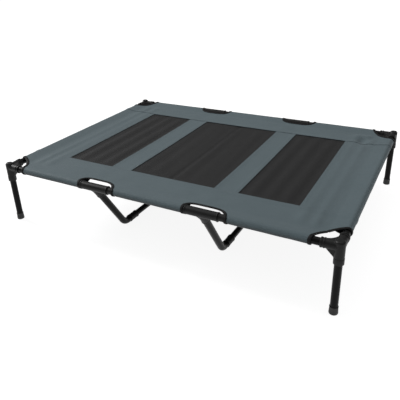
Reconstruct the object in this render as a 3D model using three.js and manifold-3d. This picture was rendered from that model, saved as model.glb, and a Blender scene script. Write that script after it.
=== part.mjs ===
// Raised cot for a dog: a push-fit frame of steel tube with moulded corner and tee connectors,
// four legs, two U-shaped cross supports that rest on the floor, and a sewn fabric cover with
// mesh windows. Millimetres, +Z up. X runs along the long side and +Y to the back. The origin is
// on the floor under the middle of the bed.
import * as THREE from 'three';
import { mergeVertices } from 'three/addons/utils/BufferGeometryUtils.js';
import Module from 'manifold-3d';

const wasm = await Module();
wasm.setup();

// Driving dimensions of the frame.
const LEG_SPACING_X = 1192;
const LEG_SPACING_Y = 874;
const RAIL_HEIGHT = 214;
const TUBE_RADIUS = 11;
const SUPPORT_TUBE_RADIUS = 11.8;
const FLOOR_TUBE_RADIUS = 10.4;
const TUBE_WALL = 1.2;
const FIT_GAP = 0.3;

// Corner connector: two level sockets for the rails and one upright socket for the leg.
const SOCKET_RADIUS = 13.3;
const SOCKET_RIB_RADIUS = 14.4;
const OUTER_RIB_WIDTH = 5;
const INNER_RIB_START = 12;
const INNER_RIB_WIDTH = 3;
const RIB_SLOPE = 1;
const CORNER_SOCKET_REACH = 50;
const CORNER_BORE_START = 16;
const UPRIGHT_RADIUS = 14;
const UPRIGHT_DROP = 51.5;
const CAP_RISE = 18;
// Chamfers of the cap, as distances in from its side and down from its top.
const CAP_SHOULDER = [0, 6];
const CAP_EDGE = [1.5, 2.5];
const CAP_TOP = [5, 0.7];
const CORNER_GUSSET_REACH = 36;
const CORNER_GUSSET_DROP = 37;
const CORNER_GUSSET_THICKNESS = 9;
const CORNER_WEB_REACH = 34;
const CORNER_WEB_THICKNESS = 20;
const PLATE_INSET = 2;

// Tee connector: a sleeve over the joint of two rail tubes, and a leaning branch socket.
const TEE_ARM = 55;
const TEE_BODY_RADIUS = 13.7;
const TEE_LIP_RISE = 0.7;
const TEE_LIP_WIDTH = 3;
const TEE_BRANCH_REACH = 44;
const TEE_BRANCH_BORE_START = 16;
const TEE_GUSSET_REACH = 32;
const TEE_GUSSET_THICKNESS = 15;
const TEE_GUSSET_LIFT = 4;
const TEE_GUSSET_CURVE = 8;
const BRANCH_LEAN = THREE.MathUtils.degToRad(33);
const TEE_OFFSET_X = LEG_SPACING_X / 6;
const RAIL_END_GAP = 1;

// Cross support: two bent tubes and a floor tube, joined by sleeves that rest on the floor.
const SLEEVE_RADIUS = 13.5;
const SLEEVE_RIB_INSET = 0.7;
const SLEEVE_RIB_WIDTH = 5;
const SLEEVE_START = 158;
const SLEEVE_LENGTH = 44;
const BEND_RADIUS = 35;
const BEND_STEPS = 5;

// Legs, feet and the coupler inside each side rail.
const FOOT_HEIGHT = 25;
const FOOT_FLOOR = 4;
const FOOT_TOP_RADIUS = 12.4;
const FOOT_BOTTOM_RADIUS = 13;
const FOOT_EDGE = 2.5;
const COUPLER_LENGTH = 80;

// Sewn cover. The sheet lies a little above the rail axes, and its edges are sewn round the rails.
const FABRIC = 1.2;
const MESH_THICKNESS = 0.8;
const BINDING_EXTRA = 0.5;
const BINDING_WIDTH = 6;
const SHEET_RISE = 5;
const SLEEVE_SEAM = 45;
const BAND_DEPTH = 150;
const SIDE_PANEL_DEPTH = 153;
const STRIP_WIDTH = 84;
const CENTRE_WINDOW_HALF = 162;
const CORNER_CUT = 82;
const CORNER_CUT_CURVE = 16;
const TEE_CUT_HALF = 75;
const TEE_CUT_DEPTH = 38;
// The cover sits a little to the right on the frame, so its tee cut-outs are off the tees.
const FRONT_CUT_SHIFT = 8;
const BACK_CUT_SHIFT = 11;
const TEE_CUT_SHOULDER = 14;
const TEE_CUT_ROUNDING = 58;
const TEE_CUT_PULL = 24;
const CUT_STRAIGHT = 6;

// Facets.
const TUBE_SIDES = 16;
// A full circle in a shape is drawn with two facets to each of its curve segments.
const ARC_SEGMENTS = TUBE_SIDES / 2;
const SLEEVE_ARC_STEPS = 9;
const CUT_CURVE_STEPS = 4;

const HALF_X = LEG_SPACING_X / 2;
const HALF_Y = LEG_SPACING_Y / 2;
const BORE_RADIUS = TUBE_RADIUS + FIT_GAP;
const SUPPORT_BORE_RADIUS = SUPPORT_TUBE_RADIUS + FIT_GAP;
const SHEET_HEIGHT = RAIL_HEIGHT + SHEET_RISE;

const PLASTIC = { color: 0x2b2b2d, roughness: 0.55, metalness: 0 };
const STEEL = { color: 0x18181a, roughness: 0.3, metalness: 0.3 };
const RUBBER = { color: 0x1b1b1c, roughness: 0.8, metalness: 0 };
const CANVAS = { color: 0x5f6a70, roughness: 0.85, metalness: 0 };
const NET = { color: 0x353536, roughness: 0.8, metalness: 0 };
const TAPE = { color: 0x121214, roughness: 0.8, metalness: 0 };

const bed = new THREE.Group();

function addPiece(name, geometry, look, parent = bed) {
  const piece = new THREE.Mesh(geometry, new THREE.MeshStandardMaterial(look));
  piece.name = name;
  parent.add(piece);
  return piece;
}

// Solids to and from manifold-3d.
function solidOf(geometry) {
  const bare = geometry.clone();
  bare.deleteAttribute('normal');
  bare.deleteAttribute('uv');
  const merged = mergeVertices(bare, 1e-4);
  return new wasm.Manifold(new wasm.Mesh({
    numProp: 3,
    vertProperties: Float32Array.from(merged.attributes.position.array),
    triVerts: Uint32Array.from(merged.index.array),
  }));
}

function geometryOf(solid) {
  const mesh = solid.getMesh();
  const geometry = new THREE.BufferGeometry();
  geometry.setAttribute('position', new THREE.BufferAttribute(mesh.vertProperties, 3));
  geometry.setIndex(new THREE.BufferAttribute(mesh.triVerts, 1));
  return geometry;
}

function joined(geometries) {
  return geometries.map(solidOf).reduce((whole, next) => whole.add(next));
}

// A body of revolution about Z from [radius, height] pairs, listed upwards.
function turned(profile) {
  const points = profile.map(([radius, height]) => new THREE.Vector2(radius, height));
  return new THREE.LatheGeometry(points, TUBE_SIDES).rotateX(Math.PI / 2);
}

function rod(radius, from, to) {
  return turned([[0, from], [radius, from], [radius, to], [0, to]]);
}

function ringShape(radius, wall) {
  const shape = new THREE.Shape().absarc(0, 0, radius, 0, 2 * Math.PI);
  shape.holes.push(new THREE.Path().absarc(0, 0, radius - wall, 0, 2 * Math.PI));
  return shape;
}

// A straight hollow tube from the origin along +Z.
function straightTube(length, radius = TUBE_RADIUS) {
  const options = { depth: length, bevelEnabled: false, curveSegments: ARC_SEGMENTS };
  return new THREE.ExtrudeGeometry(ringShape(radius, TUBE_WALL), options);
}

function extruded(shape, depth, curveSegments = 1) {
  return new THREE.ExtrudeGeometry(shape, { depth, bevelEnabled: false, curveSegments });
}

// A plate in the XZ plane, centred on it, from a shape drawn with x across and y up.
function uprightPlate(shape, thickness) {
  return extruded(shape, thickness, CUT_CURVE_STEPS)
    .rotateX(Math.PI / 2)
    .translate(0, thickness / 2, 0);
}

// A level socket along +Z with two ribs round its mouth.
function ribbedSocket(reach) {
  const innerRib = reach - INNER_RIB_START;
  const outerRib = reach - OUTER_RIB_WIDTH;
  return turned([
    [0, 0], [SOCKET_RADIUS, 0], [SOCKET_RADIUS, innerRib - RIB_SLOPE],
    [SOCKET_RIB_RADIUS, innerRib], [SOCKET_RIB_RADIUS, innerRib + INNER_RIB_WIDTH],
    [SOCKET_RADIUS, innerRib + INNER_RIB_WIDTH + RIB_SLOPE], [SOCKET_RADIUS, outerRib - RIB_SLOPE],
    [SOCKET_RIB_RADIUS, outerRib], [SOCKET_RIB_RADIUS, reach], [0, reach],
  ]);
}

// Corner connector, with its level sockets along +X and +Y and the rail axes crossing at z = 0.
function cornerConnector() {
  const cap = [CAP_SHOULDER, CAP_EDGE, CAP_TOP].map(([inset, below]) => (
    [UPRIGHT_RADIUS - inset, CAP_RISE - below]
  ));
  const upright = turned([
    [0, -UPRIGHT_DROP], [UPRIGHT_RADIUS, -UPRIGHT_DROP], ...cap, [0, CAP_RISE],
  ]);
  const gussetOutline = new THREE.Shape()
    .moveTo(0, 0)
    .lineTo(CORNER_GUSSET_REACH, 0)
    .lineTo(CORNER_GUSSET_REACH, PLATE_INSET - SOCKET_RADIUS)
    .lineTo(UPRIGHT_RADIUS - PLATE_INSET, -CORNER_GUSSET_DROP)
    .lineTo(0, -CORNER_GUSSET_DROP);
  const webOutline = new THREE.Shape()
    .moveTo(0, 0)
    .lineTo(CORNER_WEB_REACH, 0)
    .lineTo(CORNER_WEB_REACH, SOCKET_RADIUS - PLATE_INSET)
    .quadraticCurveTo(SOCKET_RADIUS, SOCKET_RADIUS, SOCKET_RADIUS - PLATE_INSET, CORNER_WEB_REACH)
    .lineTo(0, CORNER_WEB_REACH);
  const web = extruded(webOutline, CORNER_WEB_THICKNESS, CUT_CURVE_STEPS)
    .translate(0, 0, -CORNER_WEB_THICKNESS / 2);
  const body = joined([
    ribbedSocket(CORNER_SOCKET_REACH).rotateY(Math.PI / 2),
    ribbedSocket(CORNER_SOCKET_REACH).rotateX(-Math.PI / 2),
    upright,
    uprightPlate(gussetOutline, CORNER_GUSSET_THICKNESS),
    uprightPlate(gussetOutline, CORNER_GUSSET_THICKNESS).rotateZ(Math.PI / 2),
    web,
  ]);
  const bore = () => rod(BORE_RADIUS, CORNER_BORE_START, CORNER_SOCKET_REACH + 1);
  const bores = joined([
    bore().rotateY(Math.PI / 2),
    bore().rotateX(-Math.PI / 2),
    rod(BORE_RADIUS, -UPRIGHT_DROP - 1, -CORNER_BORE_START),
  ]);
  return geometryOf(body.subtract(bores));
}

// Tee connector for the front rail, with the rail axis along X and the branch down to +Y.
function teeConnector() {
  const lipRadius = TEE_BODY_RADIUS + TEE_LIP_RISE;
  const lipStart = TEE_ARM - TEE_LIP_WIDTH;
  const body = turned([
    [0, -TEE_ARM], [lipRadius, -TEE_ARM], [lipRadius, -lipStart],
    [TEE_BODY_RADIUS, RIB_SLOPE - lipStart], [TEE_BODY_RADIUS, lipStart - RIB_SLOPE],
    [lipRadius, lipStart], [lipRadius, TEE_ARM], [0, TEE_ARM],
  ]).rotateY(Math.PI / 2);
  const branch = turned([
    [0, -TEE_BRANCH_REACH], [SOCKET_RADIUS, -TEE_BRANCH_REACH], [UPRIGHT_RADIUS, -TEE_BODY_RADIUS],
    [SOCKET_RADIUS, 0], [0, 0],
  ]);
  const gussetOutline = new THREE.Shape()
    .moveTo(0, 0)
    .lineTo(0, TEE_GUSSET_LIFT - TEE_BRANCH_REACH)
    .lineTo(PLATE_INSET - UPRIGHT_RADIUS, TEE_GUSSET_LIFT - TEE_BRANCH_REACH)
    .quadraticCurveTo(
      -UPRIGHT_RADIUS, -TEE_BODY_RADIUS - TEE_GUSSET_CURVE,
      -TEE_GUSSET_REACH, PLATE_INSET - TEE_BODY_RADIUS,
    )
    .lineTo(-TEE_GUSSET_REACH, 0);
  const solid = joined([body, branch, uprightPlate(gussetOutline, TEE_GUSSET_THICKNESS)]);
  const railBore = rod(BORE_RADIUS, -TEE_ARM - 1, TEE_ARM + 1).rotateY(Math.PI / 2);
  const branchBore = rod(SUPPORT_BORE_RADIUS, -TEE_BRANCH_REACH - 1, -TEE_BRANCH_BORE_START);
  return geometryOf(solid.subtract(joined([railBore, branchBore]))).rotateX(BRANCH_LEAN);
}

function footCap() {
  return turned([
    [0, 0], [FOOT_BOTTOM_RADIUS - FOOT_EDGE, 0], [FOOT_BOTTOM_RADIUS, FOOT_EDGE],
    [FOOT_TOP_RADIUS, FOOT_HEIGHT], [BORE_RADIUS, FOOT_HEIGHT], [BORE_RADIUS, FOOT_FLOOR],
    [0, FOOT_FLOOR],
  ]);
}

// A sleeve that joins two floor tubes, from the origin along +Z, ribbed at both ends.
function supportSleeve() {
  const slim = SLEEVE_RADIUS - SLEEVE_RIB_INSET;
  const farRib = SLEEVE_LENGTH - SLEEVE_RIB_WIDTH;
  const outer = turned([
    [0, 0], [SLEEVE_RADIUS, 0], [SLEEVE_RADIUS, SLEEVE_RIB_WIDTH],
    [slim, SLEEVE_RIB_WIDTH + RIB_SLOPE], [slim, farRib - RIB_SLOPE],
    [SLEEVE_RADIUS, farRib], [SLEEVE_RADIUS, SLEEVE_LENGTH], [0, SLEEVE_LENGTH],
  ]);
  return geometryOf(solidOf(outer).subtract(solidOf(rod(SUPPORT_BORE_RADIUS, -1, SLEEVE_LENGTH + 1))));
}

// The centre line of a bent tube: a straight, a round bend and a straight, in the YZ plane.
class BentLine extends THREE.Curve {
  constructor(start, corner, end, radius) {
    super();
    const inward = corner.clone().sub(start).normalize();
    const outward = end.clone().sub(corner).normalize();
    const turn = inward.angleTo(outward);
    const setback = radius * Math.tan(turn / 2);
    const centre = outward.clone().sub(inward).normalize()
      .multiplyScalar(radius / Math.cos(turn / 2)).add(corner);
    const axis = inward.clone().cross(outward).normalize();
    const first = corner.clone().addScaledVector(inward, -setback).sub(centre);
    this.points = [start];
    this.directions = [inward];
    for (let step = 0; step <= BEND_STEPS; step++) {
      const angle = turn * step / BEND_STEPS;
      this.points.push(first.clone().applyAxisAngle(axis, angle).add(centre));
      this.directions.push(inward.clone().applyAxisAngle(axis, angle));
    }
    this.points.push(end);
    this.directions.push(outward);
    this.steps = this.points.length - 1;
  }

  getPointAt(u) {
    return this.points[Math.round(u * this.steps)].clone();
  }

  getTangentAt(u) {
    return this.directions[Math.round(u * this.steps)].clone();
  }
}

// One bent tube of a cross support, in the YZ plane, with the rail axis at y = 0.
function bentTube() {
  const down = new THREE.Vector3(0, Math.sin(BRANCH_LEAN), -Math.cos(BRANCH_LEAN));
  const top = new THREE.Vector3(0, 0, RAIL_HEIGHT);
  const fall = (RAIL_HEIGHT - SLEEVE_RADIUS) / Math.cos(BRANCH_LEAN);
  const start = top.clone().addScaledVector(down, TEE_BRANCH_BORE_START + FIT_GAP);
  const corner = top.clone().addScaledVector(down, fall);
  const end = new THREE.Vector3(0, SLEEVE_START + SLEEVE_LENGTH / 2 - RAIL_END_GAP, SLEEVE_RADIUS);
  const path = new BentLine(start, corner, end, BEND_RADIUS);
  const options = { steps: path.steps, extrudePath: path, curveSegments: ARC_SEGMENTS };
  return new THREE.ExtrudeGeometry(ringShape(SUPPORT_TUBE_RADIUS, TUBE_WALL), options);
}

// Points where the tangents from (reach, rise) touch a circle about the rail, joined by its arc.
function teardrop(radius, reach, upper, lower) {
  const touch = (height, side) => (
    Math.atan2(height, reach) + side * Math.acos(radius / Math.hypot(reach, height))
  );
  const from = touch(upper, 1);
  const to = touch(lower, -1) + 2 * Math.PI;
  const points = [new THREE.Vector2(reach, upper)];
  for (let step = 0; step <= SLEEVE_ARC_STEPS; step++) {
    const angle = THREE.MathUtils.lerp(from, to, step / SLEEVE_ARC_STEPS);
    points.push(new THREE.Vector2(radius * Math.cos(angle), radius * Math.sin(angle)));
  }
  points.push(new THREE.Vector2(reach, lower));
  return points;
}

// Section of the cover's edge: a sleeve round the rail, closed by a seam, and the flat sheet.
// x is the distance inward from the rail axis and y the height above it.
function edgeSection(depth, thickness) {
  const half = thickness / 2;
  const outline = teardrop(BORE_RADIUS + thickness, SLEEVE_SEAM, SHEET_RISE + half, SHEET_RISE - half);
  outline.push(new THREE.Vector2(depth, SHEET_RISE - half));
  outline.push(new THREE.Vector2(depth, SHEET_RISE + half));
  const section = new THREE.Shape(outline);
  const inside = teardrop(BORE_RADIUS, SLEEVE_SEAM - 5, SHEET_RISE + 0.1, SHEET_RISE - 0.1);
  section.holes.push(new THREE.Path(inside));
  return section;
}

// The edge section run along one rail. quarter is the number of right angles from the front rail,
// and from and to are distances along the rail, anticlockwise from its middle.
function edgeRun(quarter, depth, thickness, from, to) {
  const toRail = quarter % 2 === 0 ? HALF_Y : HALF_X;
  const basis = new THREE.Matrix4().makeBasis(
    new THREE.Vector3(0, 1, 0), new THREE.Vector3(0, 0, 1), new THREE.Vector3(1, 0, 0),
  );
  return extruded(edgeSection(depth, thickness), to - from)
    .applyMatrix4(basis)
    .translate(from, -toRail, RAIL_HEIGHT)
    .rotateZ(quarter * Math.PI / 2);
}

// Corner cut-out in plan, with the corner's rail axes along +x and +y.
function cornerCutOutline(inset) {
  const reach = CORNER_CUT - inset;
  const outside = -2 * TUBE_RADIUS;
  return new THREE.Shape()
    .moveTo(outside, outside)
    .lineTo(reach, outside)
    .lineTo(reach, CUT_STRAIGHT)
    .bezierCurveTo(reach, CORNER_CUT_CURVE, CORNER_CUT_CURVE, reach, CUT_STRAIGHT, reach)
    .lineTo(outside, reach);
}

// Cut-out round a tee connector in plan: a rounded D, open to the outside of the rail.
function teeCutOutline(inset) {
  const half = TEE_CUT_HALF - inset;
  const depth = TEE_CUT_DEPTH - inset;
  const outside = -2 * TUBE_RADIUS;
  return new THREE.Shape()
    .moveTo(-half, outside)
    .lineTo(half, outside)
    .lineTo(half, CUT_STRAIGHT)
    .bezierCurveTo(
      half, depth - TEE_CUT_SHOULDER, half - TEE_CUT_PULL, depth, half - TEE_CUT_ROUNDING, depth,
    )
    .lineTo(TEE_CUT_ROUNDING - half, depth)
    .bezierCurveTo(TEE_CUT_PULL - half, depth, -half, depth - TEE_CUT_SHOULDER, -half, CUT_STRAIGHT);
}

function cutter(outline) {
  return extruded(outline, 4 * TUBE_RADIUS, CUT_CURVE_STEPS).translate(0, 0, RAIL_HEIGHT - 2 * TUBE_RADIUS);
}

function cornerCutter(quarter, inset) {
  const sideX = quarter === 0 || quarter === 3 ? -1 : 1;
  const sideY = quarter < 2 ? -1 : 1;
  return cutter(cornerCutOutline(inset))
    .rotateZ(quarter * Math.PI / 2)
    .translate(sideX * HALF_X, sideY * HALF_Y, 0);
}

function teeCutter(offsetX, inset) {
  return cutter(teeCutOutline(inset)).translate(offsetX, -HALF_Y, 0);
}

// Front or back band of the cover, as made for the front: the whole front edge and the ends of
// both side edges, up to the seam. cutShift moves the tee cut-outs along it.
function coverBand(cutShift) {
  const sheet = joined([
    edgeRun(0, BAND_DEPTH, FABRIC, SLEEVE_SEAM - HALF_X, HALF_X - SLEEVE_SEAM),
    edgeRun(1, 2 * SLEEVE_SEAM, FABRIC, SLEEVE_SEAM - HALF_Y, BAND_DEPTH - HALF_Y),
    edgeRun(3, 2 * SLEEVE_SEAM, FABRIC, HALF_Y - BAND_DEPTH, HALF_Y - SLEEVE_SEAM),
  ]);
  const cuts = joined([
    cornerCutter(0, 0), cornerCutter(1, 0),
    teeCutter(cutShift - TEE_OFFSET_X, 0), teeCutter(cutShift + TEE_OFFSET_X, 0),
  ]);
  return geometryOf(sheet.subtract(cuts));
}

// Side panel, as made for the right side: the edge between the two bands.
function sidePanel() {
  const reach = HALF_Y - BAND_DEPTH - FIT_GAP;
  return edgeRun(1, SIDE_PANEL_DEPTH, FABRIC, -reach, reach);
}

// A flat panel between the bands, centred on x.
function flatPanel(width, centreX, thickness) {
  const length = LEG_SPACING_Y - 2 * BAND_DEPTH - 2 * FIT_GAP;
  return new THREE.BoxGeometry(width - 2 * FIT_GAP, length, thickness)
    .translate(centreX, 0, SHEET_HEIGHT);
}

// Binding tape: a strip just inside the edge of a cut-out, thicker than the fabric it closes.
function bindingOf(edges, cutterAt) {
  const ring = solidOf(cutterAt(FIT_GAP)).subtract(solidOf(cutterAt(BINDING_WIDTH)));
  return geometryOf(joined(edges).intersect(ring));
}

function cornerBinding() {
  const thickness = FABRIC + 2 * BINDING_EXTRA;
  const along = CORNER_CUT + BINDING_WIDTH;
  const edges = [
    edgeRun(0, along, thickness, SLEEVE_SEAM - HALF_X, along - HALF_X),
    edgeRun(3, along, thickness, HALF_Y - along, HALF_Y - SLEEVE_SEAM),
  ];
  return bindingOf(edges, (inset) => cornerCutter(0, inset)).translate(HALF_X, HALF_Y, 0);
}

function teeBinding() {
  const thickness = FABRIC + 2 * BINDING_EXTRA;
  const along = TEE_CUT_HALF + BINDING_WIDTH;
  return bindingOf([edgeRun(0, 2 * TEE_CUT_DEPTH, thickness, -along, along)], (inset) => teeCutter(0, inset));
}

// Corners, anticlockwise from the front left. Each is a quarter turn on from the one before.
const CORNERS = [
  { name: 'front_left', x: -HALF_X, y: -HALF_Y },
  { name: 'front_right', x: HALF_X, y: -HALF_Y },
  { name: 'back_right', x: HALF_X, y: HALF_Y },
  { name: 'back_left', x: -HALF_X, y: HALF_Y },
];

function addCorner({ name, x, y }, quarter) {
  const corner = new THREE.Group();
  corner.position.set(x, y, 0);
  corner.rotation.z = quarter * Math.PI / 2;
  bed.add(corner);
  addPiece(`${name}_corner_connector`, cornerConnector(), PLASTIC, corner).position.z = RAIL_HEIGHT;
  const legLength = RAIL_HEIGHT - CORNER_BORE_START - FOOT_FLOOR - 2 * FIT_GAP;
  addPiece(`${name}_leg_tube`, straightTube(legLength), STEEL, corner).position.z = FOOT_FLOOR + FIT_GAP;
  addPiece(`${name}_foot_cap`, footCap(), RUBBER, corner);
  addPiece(`${name}_corner_binding`, cornerBinding(), TAPE, corner);
}

// Long rail of three tubes, as made for the front and turned half round for the back.
function addLongRail(side, turn, cutShift) {
  const rail = new THREE.Group();
  rail.rotation.z = turn;
  bed.add(rail);
  const ends = [
    -HALF_X + CORNER_BORE_START + FIT_GAP, -TEE_OFFSET_X, TEE_OFFSET_X,
    HALF_X - CORNER_BORE_START - FIT_GAP,
  ];
  const order = turn === 0 ? ['left', 'middle', 'right'] : ['right', 'middle', 'left'];
  order.forEach((place, index) => {
    const from = ends[index] + (index > 0 ? RAIL_END_GAP : 0);
    const to = ends[index + 1] - (index < 2 ? RAIL_END_GAP : 0);
    const tube = addPiece(`${side}_rail_${place}_tube`, straightTube(to - from), STEEL, rail);
    tube.position.set(from, -HALF_Y, RAIL_HEIGHT);
    tube.rotation.y = Math.PI / 2;
  });
  [order[0], order[2]].forEach((place, index) => {
    const x = (index === 0 ? -1 : 1) * TEE_OFFSET_X;
    const tee = addPiece(`${side}_${place}_tee_connector`, teeConnector(), PLASTIC, rail);
    tee.position.set(x, -HALF_Y, RAIL_HEIGHT);
    const binding = addPiece(`${side}_${place}_tee_binding`, teeBinding(), TAPE, rail);
    binding.position.x = x + cutShift;
  });
}

// Side rail of two tubes over a coupler.
function addSideRail(side, x) {
  const end = HALF_Y - CORNER_BORE_START - FIT_GAP;
  const stretches = [['front', -end, -RAIL_END_GAP], ['back', RAIL_END_GAP, end]];
  for (const [place, from, to] of stretches) {
    const tube = addPiece(`${side}_rail_${place}_tube`, straightTube(to - from), STEEL);
    tube.position.set(x, to, RAIL_HEIGHT);
    tube.rotation.x = Math.PI / 2;
  }
  const couplerRadius = TUBE_RADIUS - TUBE_WALL - FIT_GAP;
  const coupler = addPiece(`${side}_rail_coupler`, straightTube(COUPLER_LENGTH, couplerRadius), STEEL);
  coupler.position.set(x, COUPLER_LENGTH / 2, RAIL_HEIGHT);
  coupler.rotation.x = Math.PI / 2;
}

function addCrossSupport(side, x) {
  const support = new THREE.Group();
  support.position.x = x;
  bed.add(support);
  for (const [place, turn] of [['front', 0], ['back', Math.PI]]) {
    const half = new THREE.Group();
    half.rotation.z = turn;
    support.add(half);
    const tube = addPiece(`${side}_support_${place}_tube`, bentTube(), STEEL, half);
    tube.position.y = -HALF_Y;
    const sleeve = addPiece(`${side}_support_${place}_sleeve`, supportSleeve(), PLASTIC, half);
    sleeve.position.set(0, -HALF_Y + SLEEVE_START + SLEEVE_LENGTH, SLEEVE_RADIUS);
    sleeve.rotation.x = Math.PI / 2;
  }
  const reach = HALF_Y - SLEEVE_START - SLEEVE_LENGTH / 2 - RAIL_END_GAP;
  const floorTube = addPiece(
    `${side}_support_floor_tube`, straightTube(2 * reach, FLOOR_TUBE_RADIUS), STEEL, support,
  );
  floorTube.position.set(0, reach, SLEEVE_RADIUS);
  floorTube.rotation.x = Math.PI / 2;
}

function addCover() {
  addPiece('cover_front_band', coverBand(FRONT_CUT_SHIFT), CANVAS);
  addPiece('cover_back_band', coverBand(-BACK_CUT_SHIFT), CANVAS).rotation.z = Math.PI;
  addPiece('cover_right_panel', sidePanel(), CANVAS);
  addPiece('cover_left_panel', sidePanel(), CANVAS).rotation.z = Math.PI;
  const windowWidth = HALF_X - SIDE_PANEL_DEPTH - STRIP_WIDTH - CENTRE_WINDOW_HALF;
  const stripCentre = CENTRE_WINDOW_HALF + STRIP_WIDTH / 2;
  const windowCentre = CENTRE_WINDOW_HALF + STRIP_WIDTH + windowWidth / 2;
  for (const [side, sign] of [['left', -1], ['right', 1]]) {
    const place = (width, centre, thickness) => flatPanel(width, sign * centre, thickness);
    addPiece(`cover_${side}_strip`, place(STRIP_WIDTH, stripCentre, FABRIC), CANVAS);
    addPiece(`mesh_${side}_window`, place(windowWidth, windowCentre, MESH_THICKNESS), NET);
    const centreHalf = place(CENTRE_WINDOW_HALF, CENTRE_WINDOW_HALF / 2, MESH_THICKNESS);
    addPiece(`mesh_centre_${side}_window`, centreHalf, NET);
  }
}

CORNERS.forEach(addCorner);
addLongRail('front', 0, FRONT_CUT_SHIFT);
addLongRail('back', Math.PI, -BACK_CUT_SHIFT);
addSideRail('left', -HALF_X);
addSideRail('right', HALF_X);
addCrossSupport('left', -TEE_OFFSET_X);
addCrossSupport('right', TEE_OFFSET_X);
addCover();

export default bed;
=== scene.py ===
"""Raised cot for a dog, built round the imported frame: steel tubes, moulded connectors and a sewn cover.

Everything is in metres in the frame's own axes: X along the long side, +Y to the back, +Z up. Sizes and
places come from the CAD nodes' boxes. The cover is made as it is sewn: each cloth piece is cut flat in
pattern coordinates and then laid over the sheet and round the rails by one function, on_cover().
"""
import math

import bmesh
import bpy
import numpy as np
from mathutils import Matrix, Vector, noise
from mathutils.geometry import delaunay_2d_cdt


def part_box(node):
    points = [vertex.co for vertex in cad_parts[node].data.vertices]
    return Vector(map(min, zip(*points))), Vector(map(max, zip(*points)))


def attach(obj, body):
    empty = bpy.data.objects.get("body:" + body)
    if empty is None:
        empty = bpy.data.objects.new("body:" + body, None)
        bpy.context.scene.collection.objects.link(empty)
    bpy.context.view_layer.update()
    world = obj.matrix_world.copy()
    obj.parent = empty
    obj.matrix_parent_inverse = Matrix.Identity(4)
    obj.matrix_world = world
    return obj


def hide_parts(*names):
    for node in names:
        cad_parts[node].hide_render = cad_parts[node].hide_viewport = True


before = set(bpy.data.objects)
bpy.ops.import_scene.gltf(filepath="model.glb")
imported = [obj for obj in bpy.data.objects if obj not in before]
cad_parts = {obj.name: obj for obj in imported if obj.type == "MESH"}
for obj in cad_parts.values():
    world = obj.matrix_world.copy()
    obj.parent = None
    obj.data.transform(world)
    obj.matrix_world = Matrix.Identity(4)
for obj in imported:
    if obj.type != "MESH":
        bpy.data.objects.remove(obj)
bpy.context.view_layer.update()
MM = 0.001


def middle(node):
    low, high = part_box(node)
    return (low + high) / 2


def span(node):
    low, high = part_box(node)
    return high - low


# Frame, read from the CAD nodes.
RAIL_Z = middle("front_rail_middle_tube").z
HALF_Y = -middle("front_rail_middle_tube").y
HALF_X = middle("right_rail_coupler").x
TUBE_R = span("front_rail_middle_tube").z / 2
TUBE_WALL = 1.2 * MM
TEE_PLACE = middle("right_support_floor_tube").x
SHEET_Z = middle("mesh_left_window").z
SEAM_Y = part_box("cover_right_strip")[1].y
STRIP_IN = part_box("cover_right_strip")[0].x
STRIP_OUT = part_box("cover_right_strip")[1].x
SIDE_SEAM_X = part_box("mesh_right_window")[1].x
SUPPORT_Z = middle("left_support_floor_tube").z
FLOOR_TUBE_R = span("left_support_floor_tube").z / 2
SUPPORT_TUBE_R = span("left_support_front_tube").x / 2

# Cover: cloth thicknesses, the seam that closes the sleeves, and the cut-outs.
CANVAS = 1.0 * MM
NET = 0.7 * MM
LAP = 12 * MM
SLEEVE_SEAM = 45 * MM
SLEEVE_R = TUBE_R + 0.5 * MM + CANVAS / 2
SLEEVE_X = HALF_X - SLEEVE_SEAM
SLEEVE_Y = HALF_Y - SLEEVE_SEAM
# Cut-outs as Bezier control points in mm. A corner's are distances along its two rails. A tee's are
# the distance along the rail from the cut-out's middle, and the depth inward from the rail's axis.
CORNER_CUT = ((82, -14), (76, 28), (28, 76), (-14, 82))
TEE_CUT_HALF = 75 * MM
EVEN_TEE_CUT = ((-75, -14), (-75, 26), (-54, 38), (-14, 38), (14, 38), (54, 38), (75, 26), (75, -14))
TEE_CUTS = {
    "front_left": ((-73, -14), (-90, 26), (-76, 43), (-48, 43), (5, 43), (30, 43), (58, 32), (75, -14)),
    "front_right": ((-74, -14), (-76, 28), (-60, 33), (-12, 33), (-8, 33), (35, 34), (62, 34), (77, -14)),
    "back_left": EVEN_TEE_CUT,
    "back_right": EVEN_TEE_CUT,
}
# How far inside a cut-out's line the cloth ends and the tape's middle runs, and the tape's own size.
TAPE_COVER = 6 * MM
TAPE_MIDDLE = 4.8 * MM
TAPE_HALF_WIDTH = 5 * MM
TAPE_HALF_THICKNESS = 1.9 * MM
TAPE_END_GAP = 2 * MM
# Steps along a cut edge, and the stitches.
CUT_STEP = 4 * MM
STITCH_PITCH = 4.2 * MM
STITCH_LENGTH = 3.0 * MM
STITCH_R = 0.34 * MM
STITCH_SINK = 0.1 * MM

# How far the cloth strays from its even shape.
SHEET_SAG = 3.5 * MM
PULL_HEIGHT = 0.55 * MM
SIDE_FOLD_HEIGHT = 3.8 * MM
PUCKER_DEPTH = 7 * MM
PUCKER_RIDGE = 4.5 * MM
CORNER_FOLD_HEIGHT = 3.6 * MM
UNEVEN_SHEET = 0.5 * MM
UNEVEN_SLEEVE = 0.35 * MM


# ---------------------------------------------------------------- meshes

def new_object(name, verts, faces, smooth=True):
    mesh = bpy.data.meshes.new(name)
    mesh.from_pydata([tuple(v) for v in verts], [], faces)
    mesh.validate()
    if smooth:
        mesh.shade_smooth()
    obj = bpy.data.objects.new(name, mesh)
    bpy.context.scene.collection.objects.link(obj)
    return obj


def apply_modifiers(obj):
    graph = bpy.context.evaluated_depsgraph_get()
    mesh = bpy.data.meshes.new_from_object(obj.evaluated_get(graph))
    old = obj.data
    obj.modifiers.clear()
    obj.data = mesh
    mesh.name = obj.name
    bpy.data.meshes.remove(old)


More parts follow.
